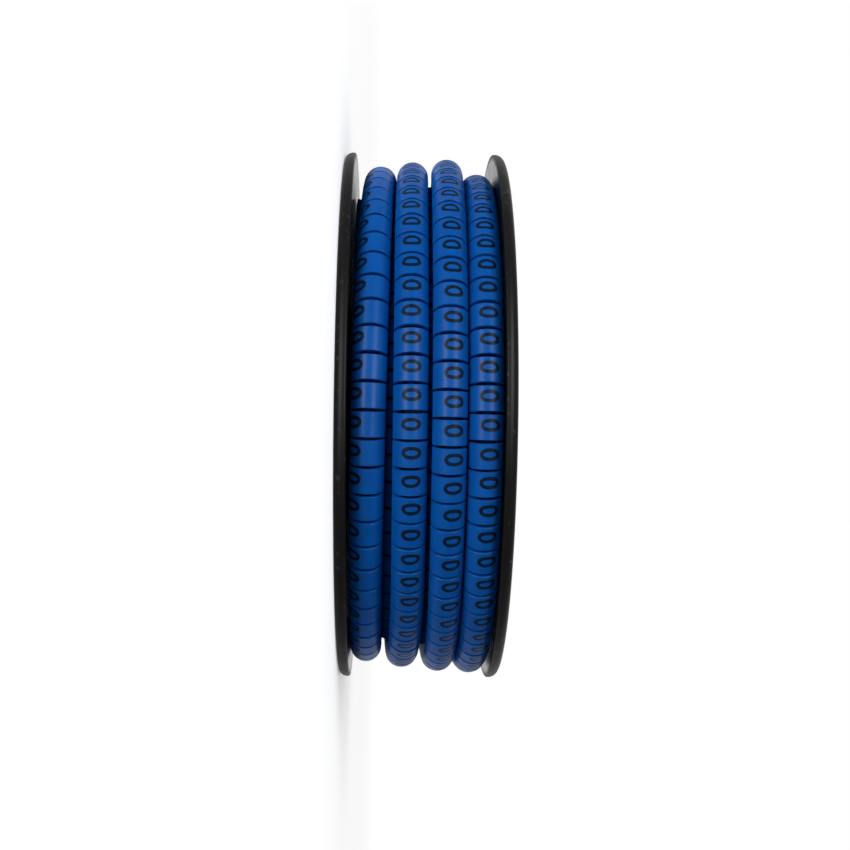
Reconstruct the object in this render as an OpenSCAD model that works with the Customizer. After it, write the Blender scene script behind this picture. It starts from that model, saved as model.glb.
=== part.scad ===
/* [Reel] */
// Outside diameter of both flanges
flange_d = 95; // [84:1:120]
// Thickness of each flange
flange_t = 1.9; // [1.2:0.1:3]
// Radius that rounds the outer edge of each flange
rim_round = 1.4; // [0.4:0.1:1.6]
// Radius that eases the inner edge of each flange
rim_ease = 0.3; // [0.1:0.05:0.4]
// Flat edge that is left on the rim between the two roundings
rim_land = 0.1; // [0.1:0.05:0.4]
// Diameter of the spindle hole through the reel
spindle_d = 32; // [20:1:40]
// Chamfer at the two mouths of the spindle hole
mouth_chamfer = 0.6; // [0.2:0.1:1]
// Wall of the barrel that the strip is wound on
barrel_wall = 2; // [1.4:0.1:3]
// Wall of the spigot that plugs into the barrel
spigot_wall = 1.6; // [1:0.1:2.4]
// Length of the spigot under its flange
spigot_l = 10; // [7:0.5:14]
// Tongues that the slots leave in the spigot
tongues = 4; // [2:1:6]
// Width of the slot between two tongues
slot_w = 2.4; // [1:0.2:5]
// Height of the snap bead round the spigot
bead_h = 0.35; // [0.15:0.05:0.6]
// Width of the snap bead at its root
bead_w = 1.4; // [1:0.1:2]
// Distance from the spigot's end to the ridge of the bead
bead_inset = 1.6; // [1.2:0.1:3]
// Clearance between the spigot and the barrel, bead and groove included
snap_gap = 0.1; // [0.05:0.05:0.3]

/* [Marker strip] */
// Outside diameter of the marker tube
marker_d = 5.45; // [5:0.05:6.5]
// Bore of the marker tube, which takes the wire
marker_bore = 3.9; // [3:0.1:4.2]
// Length of one marker along the strip
marker_l = 3.965; // [3:0.005:6]
// Width of a cut where it stops at the web
cut_w = 0.08; // [0.06:0.01:0.2]
// Thickness of the web that joins two markers
web_t = 0.4; // [0.2:0.05:0.45]
// Width of the web
web_w = 1.6; // [1:0.1:2]
// Turns that lie side by side in the outer layer
lanes = 4; // [2:1:6]
// Gap between the first two turns where they step over
lane_gap = 0.12; // [0.06:0.02:0.3]
// Amount by which each further gap is wider than the one before
lane_spread = 0.48; // [0:0.02:0.6]
// Gap between the strip and each flange where it lies against one
side_gap = 0.06; // [0.04:0.02:0.3]
// Spare width between the last turn and the lower flange
slack = 0.55; // [0.3:0.05:1]
// Distance from the flange rim in to the crown of the first turn
crown_inset = 0.8; // [0.6:0.1:4]
// Distance that the last turn lies below the first
settle = 1.75; // [0:0.05:2.5]
// Gap between the outer layer and the layers under it
layer_gap = 0.06; // [0.04:0.02:0.2]
// Clearance between the innermost turns and the barrel
barrel_gap = 0.1; // [0.05:0.05:0.5]
// Gap between the inner turns and each flange
ring_gap = 0.4; // [0.2:0.05:0.8]

/* [Winding] */
// Angle at which the strip starts to climb to the outer layer
climb_from = 93.2; // [90:0.1:120]
// Angle over which it climbs
climb_span = 220; // [150:5:230]
// Angle at which each turn starts to step over to the next lane
step_from = -50; // [-60:5:-40]
// Angle over which it steps over
step_span = 280; // [260:5:290]
// Angle over which the last turn steps over, until it lies against the lower flange
last_span = 410; // [380:5:420]
// Power under 1 that brings most of the last turn's step forward
last_lead = 0.7; // [0.65:0.05:0.8]
// Angle past the last full turn at which the strip ends
tail = 20; // [5:5:25]

/* [Hidden] */
$fn = 96;
reel_colour = [0.09, 0.09, 0.1];
strip_colour = [0.02, 0.25, 0.62];

// The web lies in the middle of the tube's wall, on the side that faces the barrel
web_l = cut_w + 2 * web_t;
web_depth = (marker_d + marker_bore) / 4;
first_web_r = flange_d / 2 - crown_inset - marker_d / 2 - web_depth;

// Lanes are far enough apart for the tilted turns to pass where they step over
steepest_ease = 1.5;
step_slope = atan(steepest_ease * marker_d / (first_web_r * step_span * PI / 180));
lane_pitch = (marker_d + lane_gap) / cos(step_slope);
nest_drop = sqrt(marker_d ^ 2 - (lane_pitch / 2) ^ 2);
route_end = 360 * lanes + tail;

// The last turn steps on over most of the slack, which is a part of a lane
last_from = step_from + 360 * (lanes - 1);
last_step = 1 + (slack - side_gap) / (lane_pitch + lane_spread * (lanes - 1));

// Distance of a lane below the first, where a part of a lane lies between two
function lane_drop(lane) = lane_pitch * lane + lane_spread * lane * (lane - 1) / 2;

// Reel, from the strip's width and from the spindle outwards
inner_w = lane_drop(lanes - 1) + marker_d + side_gap + slack;
reel_w = inner_w + 2 * flange_t;
top_lane_z = reel_w - flange_t - side_gap - marker_d / 2;
flange_r = flange_d / 2;
edge_r = min(rim_round, flange_t - rim_ease - rim_land);
spindle_r = spindle_d / 2;
spigot_r = spindle_r + spigot_wall;
socket_r = spigot_r + snap_gap;
barrel_r = socket_r + barrel_wall;
bead_up = flange_t + spigot_l - bead_inset;

// Rises from 0 to 1 as x goes from 0 to 1, level at both ends
function ease(x) = let (c = min(1, max(0, x))) c * c * (3 - 2 * c);

// Lanes that the strip has moved down at angle a of its route
function even_lane(a) =
    let (turn = floor((a - step_from) / 360))
    max(0, turn - 1 + ease((a - step_from - 360 * turn) / step_span));
function late_lane(a) = lanes - 2 + last_step * ease(((a - last_from) / last_span) ^ last_lead);
function lane_at(a) = a < last_from ? even_lane(a) : late_lane(a);
function z_at(a) = top_lane_z - lane_drop(lane_at(a));

// Radius of the web, by lane and along the route
function lane_web_r(lane) = first_web_r - settle * (lane / (lanes - 1)) ^ 2;
function web_r(a) = lane_web_r(lane_at(a)) - nest_drop * (1 - ease((a - climb_from) / climb_span));

// Radius of the tube's axis halfway between two cuts, from the web's radius
function axis_r(web) = sqrt(web ^ 2 - (marker_l / 2) ^ 2) + web_depth;

// Each cut lies one marker's length along the web from the one before
function next_cut(a) = a + 2 * asin(marker_l / 2 / web_r(a));
cuts = [for (a = climb_from; a < route_end; a = next_cut(a)) a];

// What comes off a square corner at the origin to round it
module corner_waste(r) {
    difference() {
        translate([-r, -r]) square(2 * r);
        translate([-r, r]) circle(r);
    }
}

module flange_profile() {
    difference() {
        polygon([
            [spindle_r, mouth_chamfer],
            [spindle_r + mouth_chamfer, 0],
            [flange_r, 0],
            [flange_r, flange_t],
            [spindle_r, flange_t]
        ]);
        translate([flange_r, 0]) corner_waste(edge_r);
        translate([flange_r, flange_t]) mirror([0, 1]) corner_waste(rim_ease);
    }
}

// Ridge of the snap bead, and of its groove with the clearance added
module bead_profile(gap) {
    translate([spigot_r, bead_up])
        polygon([[0, -bead_w / 2 - gap], [bead_h + gap, 0], [0, bead_w / 2 + gap]]);
}

// Lower flange and the barrel, with a snap groove inside its upper end
module barrel_flange() {
    color(reel_colour) rotate_extrude() {
        flange_profile();
        difference() {
            translate([socket_r, 0]) square([barrel_wall, flange_t + inner_w]);
            translate([0, reel_w]) mirror([0, 1]) bead_profile(snap_gap);
        }
    }
}

// Upper flange and the slotted spigot, modelled upside down and turned over
module spigot_flange() {
    color(reel_colour) translate([0, 0, reel_w]) mirror([0, 0, 1]) difference() {
        rotate_extrude() {
            flange_profile();
            translate([spindle_r, 0]) square([spigot_wall, flange_t + spigot_l]);
            bead_profile(0);
        }
        for (i = [0 : tongues - 1])
            rotate(i * 360 / tongues)
                translate([0, -slot_w / 2, flange_t]) cube([barrel_r, slot_w, spigot_l + bead_w]);
    }
}

// One straight length of tube between two cuts, tilted along the strip's run
module marker(from, to) {
    mid = (from + to) / 2;
    lean = atan((z_at(to) - z_at(from)) / marker_l);
    climb = atan((web_r(to) - web_r(from)) / marker_l);
    translate([0, 0, z_at(mid)])
        rotate(mid)
            translate([axis_r(web_r(mid)), 0, 0])
                rotate([90 + lean, 0, -climb])
                    difference() {
                        cylinder(d = marker_d, h = marker_l - cut_w, center = true);
                        cylinder(d = marker_bore, h = marker_l, center = true);
                    }
}

// The uncut part of the tube's wall that bridges a cut
module web(cut) {
    translate([0, 0, z_at(cut)])
        rotate(cut)
            translate([web_r(cut), 0, 0])
                cube([web_t, web_l, web_w], center = true);
}

// The turns under the outer layer, as one ring that follows its lanes
module inner_turns() {
    low_z = flange_t + ring_gap;
    high_z = reel_w - flange_t - ring_gap;
    base_r = barrel_r + barrel_gap;
    top_r = function (lane) axis_r(lane_web_r(lane)) - marker_d / 2 - layer_gap;
    under_lanes = [for (lane = [0 : lanes - 1]) [top_r(lane), top_lane_z - lane_drop(lane)]];
    rotate_extrude()
        polygon(concat(
            [[base_r, low_z], [base_r, high_z], [top_r(0), high_z]],
            under_lanes,
            [[top_r(lanes - 1), low_z]]
        ));
}

// One strip: the cut tube in the outer layer climbs out of the turns under it
module marker_strip() {
    color(strip_colour) {
        inner_turns();
        for (i = [0 : len(cuts) - 2])
            marker(cuts[i], cuts[i + 1]);
        for (i = [1 : len(cuts) - 2])
            web(cuts[i]);
    }
}

barrel_flange();
spigot_flange();
marker_strip();
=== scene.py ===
import math
import random

import bpy
from mathutils import Matrix, Vector


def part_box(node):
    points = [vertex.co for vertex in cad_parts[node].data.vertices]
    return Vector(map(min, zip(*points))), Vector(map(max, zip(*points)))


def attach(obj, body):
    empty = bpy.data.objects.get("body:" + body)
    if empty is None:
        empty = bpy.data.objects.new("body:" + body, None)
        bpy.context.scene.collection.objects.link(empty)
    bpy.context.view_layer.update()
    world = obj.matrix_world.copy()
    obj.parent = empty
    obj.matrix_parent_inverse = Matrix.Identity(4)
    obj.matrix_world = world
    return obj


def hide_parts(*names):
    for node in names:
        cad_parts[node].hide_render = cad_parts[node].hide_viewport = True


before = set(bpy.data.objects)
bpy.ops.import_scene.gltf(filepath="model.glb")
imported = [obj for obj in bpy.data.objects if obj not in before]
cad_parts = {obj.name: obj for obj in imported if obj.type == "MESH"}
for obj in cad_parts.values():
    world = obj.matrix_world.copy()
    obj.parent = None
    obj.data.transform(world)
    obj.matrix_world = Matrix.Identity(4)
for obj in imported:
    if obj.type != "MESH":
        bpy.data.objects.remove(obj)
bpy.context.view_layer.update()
MM = 0.001


# Reel, lower half: a disc and the barrel in one black styrene moulding. The rim is rounded on the
# outside and has a small radius on the inside; the barrel's upper end has a groove for the snap bead.
class Wire:
    """An output socket of a finish. Arithmetic on it adds Math nodes to the same node tree."""

    def __init__(self, tree, socket=None):
        self.tree = tree
        self.socket = socket

    def feed(self, node_name, sockets):
        for key, value in sockets.items():
            target = self.tree.nodes[node_name].inputs[key]
            if isinstance(value, Wire):
                self.tree.links.new(value.socket, target)
            else:
                target.default_value = value

    def node(self, kind, settings, sockets):
        made = self.tree.nodes.new("ShaderNode" + kind)
        for key, value in settings.items():
            setattr(made, key, value)
        self.feed(made.name, sockets)
        return Wire(self.tree, made.outputs[0])

    def __getitem__(self, output):
        return Wire(self.tree, self.socket.node.outputs[output])

    def math(self, operation, first, second):
        return self.node("Math", {"operation": operation}, {0: first, 1: second})

    def __add__(self, other):
        return self.math("ADD", self, other)

    def __mul__(self, other):
        return self.math("MULTIPLY", self, other)

    __radd__ = __add__
    __rmul__ = __mul__

    def noise(self, place, size, detail=2.0):
        """Soft noise from 0 to 1 whose patches are about size millimetres wide."""
        return self.node("TexNoise", {}, {"Vector": place, "Scale": 1 / (size * MM), "Detail": detail})

    def spots(self, place, apart, share):
        """1 on round specks, which lie in a share of cells apart millimetres wide, and 0 elsewhere."""
        speck_r = 0.16
        cells = self.node("TexVoronoi", {}, {"Vector": place, "Scale": 1 / (apart * MM)})
        chosen = self.math("LESS_THAN", cells["Color"], share)
        return chosen * self.math("LESS_THAN", cells["Distance"], speck_r)

    def length(self, place):
        """Distance of a place from the origin, in metres."""
        return self.node("VectorMath", {"operation": "LENGTH"}, {0: place})["Value"]

    def fade(self, value, start, stop, low=0.0, high=1.0):
        """Goes smoothly from low to high as value goes from start to stop."""
        return self.node("MapRange", {"interpolation_type": "SMOOTHSTEP"}, {
            "Value": value, "From Min": start, "From Max": stop, "To Min": low, "To Max": high})

    def mix(self, share, low, high):
        """A colour between low and high."""
        return self.node("Mix", {"data_type": "RGBA"}, {0: share, 6: low, 7: high})[2]

    def bump(self, height, depth):
        """A normal for relief of that depth in millimetres."""
        return self.node("Bump", {}, {"Height": height, "Distance": depth * MM, "Strength": 1.0})


def finish(name, constants):
    """A new material with its constants set, a wire to add nodes with, and the place on the piece."""
    made = bpy.data.materials.new(name)
    made.use_nodes = True
    wires = Wire(made.node_tree)
    wires.feed("Principled BSDF", constants)
    return made, wires, wires.node("TexCoord", {}, {})["Object"]


def arc(centre, radius, start, stop, steps):
    """Points of an arc in a profile, by angle in degrees."""
    turns = [math.radians(start + (stop - start) * i / steps) for i in range(steps + 1)]
    return [(centre[0] + radius * math.cos(t), centre[1] + radius * math.sin(t)) for t in turns]


def piece(name, points, faces, material, crease=35):
    """A mesh object from points in millimetres, smooth but for edges sharper than crease degrees."""
    mesh = bpy.data.meshes.new(name)
    mesh.from_pydata([Vector(p) * MM for p in points], [], faces)
    mesh.shade_smooth()
    mesh.set_sharp_from_angle(angle=math.radians(crease))
    mesh.materials.append(material)
    made = bpy.data.objects.new(name, mesh)
    bpy.context.scene.collection.objects.link(made)
    return made


def revolve(profile, start, stop, steps, points, faces):
    """Adds a profile of (radius, height) turned about Z. start and stop give a radius its two angles."""
    closed = math.isclose(stop(1.0) - start(1.0), 2 * math.pi)
    columns = steps if closed else steps + 1
    first = len(points)
    count = len(profile)
    for i in range(columns):
        for radius, height in profile:
            turn = start(radius) + (stop(radius) - start(radius)) * i / steps
            points.append((radius * math.cos(turn), radius * math.sin(turn), height))
    for i in range(steps):
        here = first + i * count
        there = first + (i + 1) % columns * count
        for j in range(count):
            k = (j + 1) % count
            faces.append((here + j, there + j, there + k, here + k))
    if not closed:
        faces.append([first + j for j in range(count)])
        faces.append([first + steps * count + j for j in reversed(range(count))])


def full_turn(profile, steps, points, faces):
    revolve(profile, lambda r: 0.0, lambda r: 2 * math.pi, steps, points, faces)


flange_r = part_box("spigot_flange")[1].x / MM
reel_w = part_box("spigot_flange")[1].z / MM
barrel_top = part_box("barrel_flange")[1].z / MM
flange_t = 1.9
rim_round = 1.4
rim_ease = 0.3
spindle_r = 16.0
mouth_chamfer = 0.6
spigot_wall = 1.6
spigot_l = 10.0
barrel_wall = 2.0
bead_h = 0.35
bead_w = 1.4
bead_inset = 1.6
snap_gap = 0.1
spigot_r = spindle_r + spigot_wall
socket_r = spigot_r + snap_gap
barrel_r = socket_r + barrel_wall
bead_z = reel_w - flange_t - spigot_l + bead_inset

# Distance of an extra edge beside a rounding or a corner, which keeps the flat face beyond it flat
hold = 0.15
round_steps = 9
ease_steps = 6
disc_steps = 360


def flange_profile():
    """The disc from its mouth along the outer face, round the rim and back along the inner face."""
    outer_round = arc((flange_r - rim_round, rim_round), rim_round, -90, 0, round_steps)
    inner_round = arc((flange_r - rim_ease, flange_t - rim_ease), rim_ease, 0, 90, ease_steps)
    return [
        (spindle_r, mouth_chamfer),
        (spindle_r + mouth_chamfer, 0),
        (flange_r - rim_round - hold, 0),
        *outer_round,
        *inner_round,
        (flange_r - rim_ease - hold, flange_t),
    ]


# The faces are glossy and the rim is dull: its wear starts wear_w in from the edge, is full at wear_full
# and has a few chips
wear_w = 1.3
wear_full = 0.2
chip_level = 0.64
polish = 0.12
rim_wear = 0.22
patch_wear = 0.1
grain_wear = 0.06
styrene_grain = 0.003
black = (0.003, 0.003, 0.0032, 1)
scuffed = (0.0088, 0.009, 0.0094, 1)
chipped = (0.022, 0.022, 0.021, 1)
dusty = (0.11, 0.11, 0.105, 1)
black_styrene, wires, place = finish("black_styrene", {"IOR": 1.5, "Specular IOR Level": 0.042})
grain = wires.noise(place, size=0.35, detail=3.0)
patches = wires.noise(place, size=6.0)
dust = wires.spots(place, apart=1.6, share=0.1)
flat_place = wires.node("VectorMath", {"operation": "MULTIPLY"}, {0: place, 1: (1, 1, 0)})
from_axis = wires.length(flat_place)
rim = wires.fade(from_axis, (flange_r - wear_w) * MM, (flange_r - wear_full) * MM)
chips = rim * wires.math("GREATER_THAN", wires.noise(place, size=1.2, detail=5.0), chip_level)
worn = wires.mix(chips, wires.mix(patches * grain, black, scuffed), chipped)
wires.feed("Principled BSDF", {
    "Base Color": wires.mix(dust, worn, dusty),
    "Roughness": polish + rim_wear * rim + patch_wear * patches + grain_wear * grain,
    "Normal": wires.bump(grain, styrene_grain),
})

groove = [
    (socket_r, bead_z + bead_w / 2 + snap_gap),
    (spigot_r + bead_h + snap_gap, bead_z),
    (socket_r, bead_z - bead_w / 2 - snap_gap),
]
barrel_profile = flange_profile() + [
    (barrel_r + hold, flange_t),
    (barrel_r, flange_t),
    (barrel_r, barrel_top),
    (socket_r, barrel_top),
    *groove,
    (socket_r, flange_t),
    (spindle_r, flange_t),
]
barrel_points = []
barrel_faces = []
full_turn(barrel_profile, disc_steps, barrel_points, barrel_faces)
barrel_half = piece("reel_barrel_half", barrel_points, barrel_faces, black_styrene)
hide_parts("barrel_flange")
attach(barrel_half, "root")


# Reel, upper half: the same disc, moulded with a spigot that four slots part into springy tongues.
# A bead round the tongues snaps into the barrel's groove and holds the two halves together.
spigot_end = flange_t + spigot_l
tongues = 4
slot_w = 2.4
tongue_steps = 48

# Depth to which the tongues are rooted in the disc
tongue_root = 0.3
tongue_profile = [
    (spindle_r, flange_t - tongue_root),
    (spigot_r, flange_t - tongue_root),
    (spigot_r, reel_w - bead_z - bead_w / 2),
    (spigot_r + bead_h, reel_w - bead_z),
    (spigot_r, reel_w - bead_z + bead_w / 2),
    (spigot_r, spigot_end),
    (spindle_r, spigot_end),
]
spigot_points = []
spigot_faces = []
full_turn(flange_profile() + [(spindle_r, flange_t)], disc_steps, spigot_points, spigot_faces)
for i in range(tongues):
    revolve(
        tongue_profile,
        lambda r: 2 * math.pi * i / tongues + math.asin(min(1, slot_w / 2 / r)),
        lambda r: 2 * math.pi * (i + 1) / tongues - math.asin(min(1, slot_w / 2 / r)),
        tongue_steps, spigot_points, spigot_faces)
turned_over = [(x, -y, reel_w - z) for x, y, z in spigot_points]
spigot_half = piece("reel_spigot_half", turned_over, spigot_faces, black_styrene)
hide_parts("spigot_flange")
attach(spigot_half, "root")


# Marker strip, outer turns: soft blue vinyl tube, extruded and cut nearly through at every marker.
# On the reel it bends only at the webs that the cuts leave, so each cut opens outwards as a wedge.
marker_d = 5.45
marker_bore = 3.9
marker_l = 3.965
cut_w = 0.08
web_t = 0.4
web_w = 1.6
lanes = 4
lane_gap = 0.12
lane_spread = 0.48
side_gap = 0.06
slack = 0.55
crown_inset = 0.8
settle = 1.75
web_depth = (marker_d + marker_bore) / 4
first_web_r = flange_r - crown_inset - marker_d / 2 - web_depth

# Route of the strip, by angle in degrees: it climbs out of the layer below, steps over from lane to
# lane round the back of each turn, and takes longer over the last step, which ends at the lower flange
climb_from = 93.2
climb_span = 220
step_from = -50
step_span = 280
last_span = 410
last_lead = 0.7
tail = 20
steepest_ease = 1.5
step_slope = math.atan(steepest_ease * marker_d / (first_web_r * math.radians(step_span)))
lane_pitch = (marker_d + lane_gap) / math.cos(step_slope)
nest_drop = math.sqrt(marker_d ** 2 - (lane_pitch / 2) ** 2)
top_lane_z = reel_w - flange_t - side_gap - marker_d / 2
route_end = 360 * lanes + tail
last_from = step_from + 360 * (lanes - 1)
last_step = 1 + (slack - side_gap) / (lane_pitch + lane_spread * (lanes - 1))


def ease(x):
    """Rises from 0 to 1 as x goes from 0 to 1, level at both ends."""
    c = min(1.0, max(0.0, x))
    return c * c * (3 - 2 * c)


def lane_at(a):
    """Lanes that the strip has moved down at angle a of its route, in degrees."""
    if a >= last_from:
        return lanes - 2 + last_step * ease(((a - last_from) / last_span) ** last_lead)
    turn = math.floor((a - step_from) / 360)
    return max(0.0, turn - 1 + ease((a - step_from - 360 * turn) / step_span))


def lane_z(lane):
    return top_lane_z - lane_pitch * lane - lane_spread * lane * (lane - 1) / 2


def z_at(a):
    return lane_z(lane_at(a))


def lane_web_r(lane):
    return first_web_r - settle * (lane / (lanes - 1)) ** 2


def web_r(a):
    """Radius of the webs at angle a of the route."""
    return lane_web_r(lane_at(a)) - nest_drop * (1 - ease((a - climb_from) / climb_span))


def axis_r(web):
    """Radius of a tube's axis halfway between two webs at the radius web."""
    return math.sqrt(web ** 2 - (marker_l / 2) ** 2) + web_depth


def turned(a):
    """Outward and onward directions at angle a."""
    a = math.radians(a)
    return Vector((math.cos(a), math.sin(a), 0)), Vector((-math.sin(a), math.cos(a), 0))


up = Vector((0, 0, 1))


def marker_frame(start, stop):
    """Centre of the marker between two cuts, and its outward, along and across directions."""
    middle = (start + stop) / 2
    lean = math.atan((z_at(stop) - z_at(start)) / marker_l)
    climb = math.atan((web_r(stop) - web_r(start)) / marker_l)
    out, onward = turned(middle)
    run = out * math.sin(climb) + onward * math.cos(climb)
    along = run * math.cos(lean) + up * math.sin(lean)
    outward = (out - along * out.dot(along)).normalized()
    centre = out * axis_r(web_r(middle)) + up * z_at(middle)
    return centre, outward, along, outward.cross(along)


def tube_mesh(frame_of, outline, sides, points, faces):
    """Adds an outline of (length, radius) turned about a marker's own axis."""
    centre, outward, along, across = frame_of
    first = len(points)
    count = len(outline)
    for i in range(sides):
        turn = 2 * math.pi * i / sides
        ray = outward * math.cos(turn) + across * math.sin(turn)
        points.extend(centre + along * length + ray * radius for length, radius in outline)
    for i in range(sides):
        here = first + i * count
        there = first + (i + 1) % sides * count
        for j in range(count):
            k = (j + 1) % count
            faces.append((here + j, here + k, there + k, there + j))


cuts = [climb_from]
while cuts[-1] < route_end:
    cuts.append(cuts[-1] + 2 * math.degrees(math.asin(marker_l / 2 / web_r(cuts[-1]))))
cuts = cuts[:-1]

satin = 0.29
mottle_wear = 0.08
vinyl_grain = 0.006
deep_blue = (0.0008, 0.062, 0.285, 1)
light_blue = (0.0025, 0.086, 0.35, 1)
dusty = (0.3, 0.35, 0.42, 1)
blue_vinyl, wires, place = finish("blue_vinyl", {"IOR": 1.5, "Specular IOR Level": 0.03})
mottle = wires.noise(place, size=5.0)
grain = wires.noise(place, size=0.22, detail=3.0)
dust = wires.spots(place, apart=1.3, share=0.03)
wires.feed("Principled BSDF", {
    "Base Color": wires.mix(dust, wires.mix(mottle, deep_blue, light_blue), dusty),
    "Roughness": satin + mottle_wear * mottle + grain_wear * grain,
    "Normal": wires.bump(grain, vinyl_grain),
})

# The soft tube swells a little at a cut, and its edge there is slightly rounded
edge = 0.07
swell = 0.05
half_l = (marker_l - cut_w + swell) / 2
marker_sides = 48
marker_outline = [
    (-half_l + edge, marker_d / 2),
    (half_l - edge, marker_d / 2),
    (half_l, marker_d / 2 - edge),
    (half_l, marker_bore / 2),
    (-half_l, marker_bore / 2),
    (-half_l, marker_d / 2 - edge),
]

# Degrees by which single markers stand off the route, up and down and to the sides
nod = 0.55
swing = 0.4
chance = random.Random(5)
strip_points = []
strip_faces = []
marker_frames = []
for start, stop in zip(cuts, cuts[1:]):
    centre, outward, along, across = marker_frame(start, stop)
    tilt = Matrix.Rotation(math.radians(chance.gauss(0, nod)), 3, across)
    tilt = Matrix.Rotation(math.radians(chance.gauss(0, swing)), 3, outward) @ tilt
    placed = (centre, tilt @ outward, tilt @ along, tilt @ across)
    marker_frames.append(((start + stop) / 2, placed))
    tube_mesh(placed, marker_outline, marker_sides, strip_points, strip_faces)

# Corners of a web, as the sides of its middle on which they lie: outward, onward and up
web_corners = [
    (-1, -1, -1), (-1, 1, -1), (1, 1, -1), (1, -1, -1),
    (-1, -1, 1), (-1, 1, 1), (1, 1, 1), (1, -1, 1),
]
web_faces = [(0, 1, 2, 3), (7, 6, 5, 4), (0, 4, 5, 1), (1, 5, 6, 2), (2, 6, 7, 3), (3, 7, 4, 0)]
for cut in cuts[1:-1]:
    out, onward = turned(cut)
    first = len(strip_points)
    for x, y, z in web_corners:
        corner = out * (web_r(cut) + x * web_t / 2) + onward * (y * (cut_w / 2 + web_t))
        strip_points.append(corner + up * (z_at(cut) + z * web_w / 2))
    strip_faces.extend([first + i for i in face] for face in web_faces)
outer_turns = piece("marker_strip_outer_turns", strip_points, strip_faces, blue_vinyl)
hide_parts("marker_strip")
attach(outer_turns, "root")


# Printed zeros: one on each marker, in thin black ink that was printed on the tube before it was cut.
# The strip twists a little within a turn and from turn to turn, so the rows of zeros lean to one side.
zero_w = 3.15
zero_h = 2.0
zero_stroke = 0.57
zero_back = 0.35
zero_power = 2.2
zero_steps = 36
ink_lift = 0.014
ink_root = 0.01

# Degrees by which the zeros lean: in each lane, to and fro within a turn, and by chance
zero_leans = [8, 11, 2, -54]
zero_twist = 8
zero_stray = 1.2

ink_satin = 0.36
ink_wear = 0.12
ink = (0.0008, 0.004, 0.01, 1)
thin_ink = (0.0015, 0.022, 0.06, 1)
black_ink, wires, place = finish("black_ink", {"IOR": 1.5, "Specular IOR Level": 0.03})
wear = wires.noise(place, size=0.5, detail=3.0)
wires.feed("Principled BSDF", {
    "Base Color": wires.mix(wear * wear, ink, thin_ink),
    "Roughness": ink_satin + ink_wear * wear,
})


def zero_lean(a):
    """How far the zeros have turned round the tube at angle a, in radians."""
    lane = lane_at(a)
    before = min(lanes - 2, int(lane))
    share = lane - before
    twist = zero_twist * math.cos(math.radians(a))
    return math.radians(zero_leans[before] * (1 - share) + zero_leans[before + 1] * share + twist)


def zero_ring(inset):
    """Points of an oval, a little squarer than an ellipse, as (across, along)."""
    ring = []
    for i in range(zero_steps):
        turn = 2 * math.pi * i / zero_steps
        c = math.cos(turn)
        s = math.sin(turn)
        across = math.copysign(abs(c) ** (2 / zero_power), c) * (zero_w / 2 - inset)
        along = math.copysign(abs(s) ** (2 / zero_power), s) * (zero_h / 2 - inset)
        ring.append((across, along))
    return ring


# Section of a stroke, as distances in from the zero's outline and out from the tube
ink_section = [
    (0, -ink_root),
    (0, ink_lift),
    (zero_stroke / 2, ink_lift),
    (zero_stroke, ink_lift),
    (zero_stroke, -ink_root),
]
ink_points = []
ink_faces = []
for a, (centre, outward, along, across) in marker_frames:
    lean = zero_lean(a) + math.radians(chance.gauss(0, zero_stray))
    first = len(ink_points)
    for inset, lift in ink_section:
        for over, onward in zero_ring(inset):
            turn = lean + over / (marker_d / 2)
            ray = outward * math.cos(turn) + across * math.sin(turn)
            ink_points.append(centre + along * (onward - zero_back) + ray * (marker_d / 2 + lift))
    for j in range(len(ink_section)):
        here = first + j * zero_steps
        there = first + (j + 1) % len(ink_section) * zero_steps
        for i in range(zero_steps):
            after = (i + 1) % zero_steps
            ink_faces.append((here + i, here + after, there + after, there + i))
zeros = piece("printed_zeros", ink_points, ink_faces, black_ink)
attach(zeros, "root")


# Marker strip, inner turns: the same strip, wound on the barrel before the outer turns and seen only in
# the gaps between them. The turns that lie in the outer ones' valleys are cut into markers here, and
# all the turns under those are one plain core.
# Their blue is painted shade: a darker copy of the outer turns' vinyl that stands for the shade deep in
# the gaps, with no gloss
dull = 0.7
dull_mottle = 0.2
shaded_blue = (0.0005, 0.02, 0.1, 1)
shaded_light_blue = (0.0012, 0.032, 0.14, 1)
inner_vinyl_painted_shade, wires, place = finish("inner_vinyl_painted_shade", {"IOR": 1.5, "Specular IOR Level": 0.0})
mottle = wires.noise(place, size=5.0)
wires.feed("Principled BSDF", {
    "Base Color": wires.mix(mottle, shaded_blue, shaded_light_blue),
    "Roughness": dull + dull_mottle * mottle,
})
inner_gap = 0.06
ring_gap = 0.4
barrel_gap = 0.1
inner_sides = 24
core_steps = 180
inner_outline = marker_outline[:3] + marker_outline[-1:]
inner_step = math.degrees(marker_l / (first_web_r - nest_drop))


def ring_r(lane):
    """Radius of the inner turns under a lane of the outer ones."""
    return axis_r(lane_web_r(lane)) - marker_d / 2 - inner_gap


def nested(a):
    """Place of an inner turn's axis in the valley between the outer turns at a and one turn later."""
    upper = Vector((axis_r(web_r(a)), z_at(a)))
    lower = Vector((axis_r(web_r(a + 360)), z_at(a + 360)))
    apart = lower - upper
    depth = math.sqrt((marker_d + inner_gap) ** 2 - (apart.length / 2) ** 2)
    inward = Vector((apart.y, -apart.x)).normalized()
    radius, height = (upper + lower) / 2 + inward * depth
    return turned(a)[0] * radius + up * height


inner_points = []
inner_faces = []
inner_a = climb_from + climb_span
while inner_a < route_end - 360:
    ahead = nested(inner_a + inner_step / 2) - nested(inner_a - inner_step / 2)
    along = ahead.normalized()
    out = turned(inner_a)[0]
    outward = (out - along * out.dot(along)).normalized()
    placed = (nested(inner_a), outward, along, outward.cross(along))
    tube_mesh(placed, inner_outline, inner_sides, inner_points, inner_faces)
    inner_a += inner_step

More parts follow.
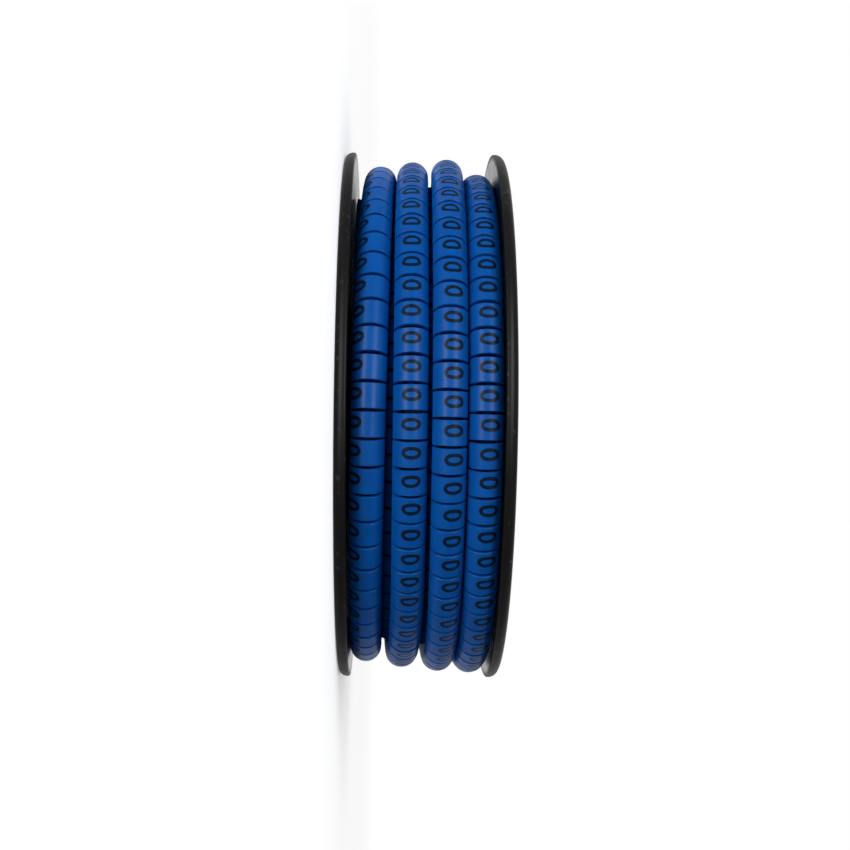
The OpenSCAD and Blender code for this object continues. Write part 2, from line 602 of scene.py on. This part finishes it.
core_r = barrel_r + barrel_gap
core_low = flange_t + ring_gap
core_high = reel_w - flange_t - ring_gap
core_profile = [(core_r, core_high), (core_r, core_low), (ring_r(lanes - 1), core_low)]
for lane in reversed(range(lanes - 1)):
    valley_r = (ring_r(lane) + ring_r(lane + 1)) / 2 - marker_d / 2
    core_profile.append((valley_r, (lane_z(lane) + lane_z(lane + 1)) / 2))
core_profile.append((ring_r(0), core_high))
full_turn(core_profile, core_steps, inner_points, inner_faces)
inner_turns = piece("marker_strip_inner_turns", inner_points, inner_faces, inner_vinyl_painted_shade)
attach(inner_turns, "root")


# Stage: a pale floor under the reel, white all round, and soft lamps on both sides of the camera and
# above it. The camera looks at the reel's edge with the reel's axis level, so the floor is on the left
# of the picture; the left lamp stands under it, and the floor lets that light through.
def seen(wires):
    """1 for rays that come straight from the camera or by way of a reflection, and 0 for light."""
    path = wires.node("LightPath", {}, {})
    return path["Is Camera Ray"] + path["Is Glossy Ray"] + path["Is Transmission Ray"]


# The floor glows to the eye alone, more with distance, so that it is white but for the reel's shadow
floor_half = 1500
glow_from = -0.3
glow_to = 1.3
glow_near = 0.25
glow_far = 0.95
pale = (0.86, 0.86, 0.86, 1)
pale_floor, wires, place = finish("pale_floor", {"Roughness": 0.8, "Base Color": pale})
lift = wires.fade(wires.length(place), glow_from, glow_to, glow_near, glow_far)
glow = wires.mix(seen(wires) * lift, (0, 0, 0, 1), (1, 1, 1, 1))
wires.feed("Principled BSDF", {"Emission Color": glow, "Emission Strength": 1.0})
floor_corners = [(x * floor_half, y * floor_half, 0) for x, y in ((-1, -1), (1, -1), (1, 1), (-1, 1))]
floor = piece("floor", floor_corners, [(0, 1, 2, 3)], pale_floor)
floor.visible_shadow = False

# Light that the white surroundings give, as a share of how bright they look
fill = 0.08
world = bpy.data.worlds.new("white_studio")
world.use_nodes = True
bpy.context.scene.world = world
wires = Wire(world.node_tree)
wires.feed("Background", {"Color": (1, 1, 1, 1), "Strength": fill + (1 - fill) * seen(wires)})


def aim(obj, target, right):
    """Turns an object so that its -Z points at target and its +X lies along right."""
    back = (obj.location - target).normalized()
    side = (right - back * right.dot(back)).normalized()
    turn = Matrix((side, back.cross(side), back)).transposed()
    obj.rotation_euler = turn.to_euler()


# Lamps: width and height in metres, watts, degrees to the right of the camera and above it as the
# picture lies, and whether the lamp gives only the sheen on the tubes and rims
reel_middle = Vector((0, 0, reel_w / 2)) * MM
lamp_far = 0.85
for name, wide, tall, power, aside, above, sheen in (
    ("top_lamp", 0.8, 0.8, 3.3, 78, 0, False),
    ("left_lamp", 0.3, 0.5, 5.0, -40, 28, False),
    ("right_lamp", 0.3, 0.5, 2.8, 40, 28, False),
    ("left_strip", 0.25, 0.6, 24.0, -36, 16, True),
    ("right_strip", 0.25, 0.6, 22.0, 33, 17, True),
):
    aside = math.radians(aside)
    above = math.radians(above)
    toward = Vector((
        -math.sin(above),
        -math.cos(above) * math.cos(aside),
        math.cos(above) * math.sin(aside),
    ))
    lamp_data = bpy.data.lights.new(name, "AREA")
    lamp_data.shape = "RECTANGLE"
    lamp_data.size = wide
    lamp_data.size_y = tall
    lamp_data.energy = power
    lamp = bpy.data.objects.new(name, lamp_data)
    lamp.visible_diffuse = not sheen
    lamp.visible_glossy = sheen
    lamp.location = reel_middle + lamp_far * toward
    bpy.context.scene.collection.objects.link(lamp)
    aim(lamp, reel_middle, up)

camera_far = 253.55
camera_z = 8.85
camera_roll = math.radians(0.7)
camera_target = Vector((1.76, 0, 14.97)) * MM
camera_data = bpy.data.cameras.new("camera")
camera_data.lens = 58.07
camera_data.sensor_width = 36
camera_data.clip_start = 0.01
camera = bpy.data.objects.new("camera", camera_data)
camera.location = Vector((0, -camera_far, camera_z)) * MM
bpy.context.scene.collection.objects.link(camera)
bpy.context.scene.camera = camera
image_up = Vector((-1, 0, 0))
image_right = up * math.cos(camera_roll) + image_up * math.sin(camera_roll)
aim(camera, camera_target, image_right)
bpy.context.scene.view_settings.view_transform = "Standard"
